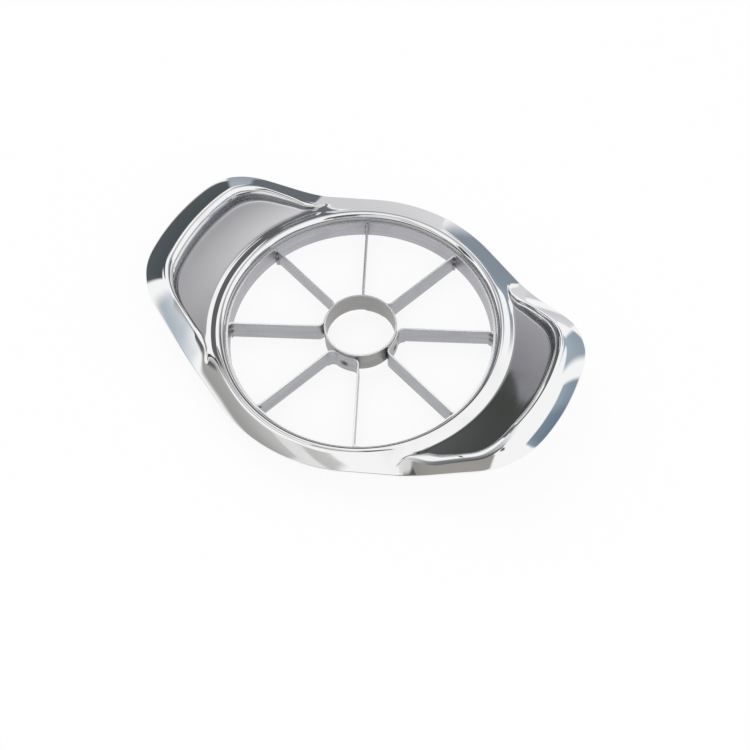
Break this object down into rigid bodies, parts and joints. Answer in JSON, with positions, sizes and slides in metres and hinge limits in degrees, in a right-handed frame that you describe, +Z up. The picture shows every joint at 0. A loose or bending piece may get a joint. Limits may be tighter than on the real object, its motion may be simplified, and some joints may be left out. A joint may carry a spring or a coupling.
{
  "type": "apple slicer and corer",
  "caption": "Polished steel apple slicer: round opening with straight blades from a core ring to a collar, and two raised wing handles",
  "frame": {"origin": "on the axis of the core ring, level with the blades' cutting edges", "axes": "+X along the long axis towards one handle, +Z up, away from the cutting edges"},
  "size_m": [0.155, 0.1134, 0.0245],
  "materials": {
    "polished_frame": "mirror polished stainless steel",
    "satin_band": "satin stainless steel, not polished",
    "satin_ring": "satin stainless steel",
    "satin_blade": "satin stainless steel strip with ground cutting edge"
  },
  "bodies": {
    "root": {"frame": "polished_frame", "blade_band": "satin_band", "core_ring": "satin_ring", "blade_strip_right": "satin_blade", "blade_strip_rear": "satin_blade", "blade_strip_left": "satin_blade", "blade_strip_front": "satin_blade"}
  },
  "joints": []
}
